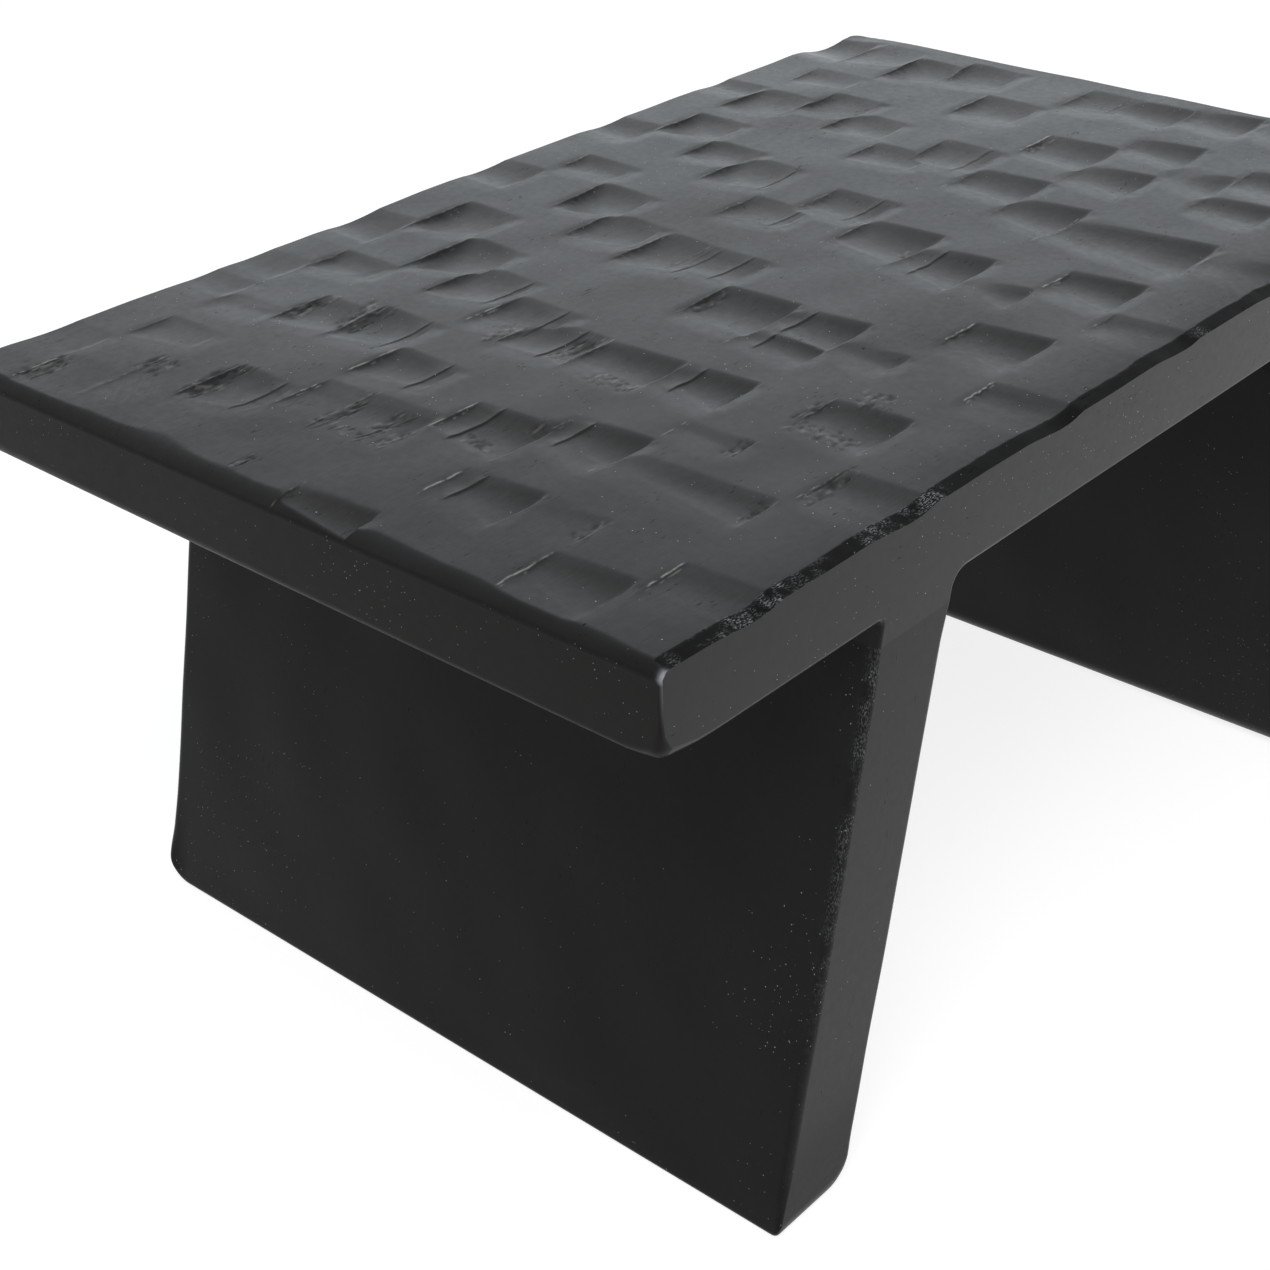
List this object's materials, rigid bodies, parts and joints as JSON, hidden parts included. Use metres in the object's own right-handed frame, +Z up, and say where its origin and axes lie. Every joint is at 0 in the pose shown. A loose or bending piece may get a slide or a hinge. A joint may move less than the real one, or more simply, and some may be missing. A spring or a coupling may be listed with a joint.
{
  "type": "wooden stool",
  "caption": "Low black wooden stool: a thick rectangular top hewn with adze scoops, on splayed slab legs set in from the ends.",
  "frame": {"origin": "middle of the footprint, on the floor", "axes": "+X along the top, from the left leg to the right leg; +Y from the front long side to the back; +Z up"},
  "size_m": [0.49, 0.3, 0.234],
  "materials": {
    "blackened_wood": "black stain under a satin oil, open grain",
    "bare_wood": "bare sawn wood, glued"
  },
  "bodies": {
    "root": {"top_board_1": "blackened_wood", "top_board_2": "blackened_wood", "top_board_3": "blackened_wood", "top_board_4": "blackened_wood", "left_leg_board_1": "blackened_wood", "left_leg_board_2": "blackened_wood", "left_leg_board_3": "blackened_wood", "left_leg_board_4": "blackened_wood", "right_leg_board_1": "blackened_wood", "right_leg_board_2": "blackened_wood", "right_leg_board_3": "blackened_wood", "right_leg_board_4": "blackened_wood", "left_tenon_1": "bare_wood", "left_tenon_2": "bare_wood", "left_tenon_3": "bare_wood", "left_tenon_4": "bare_wood", "right_tenon_1": "bare_wood", "right_tenon_2": "bare_wood", "right_tenon_3": "bare_wood", "right_tenon_4": "bare_wood"}
  },
  "joints": []
}
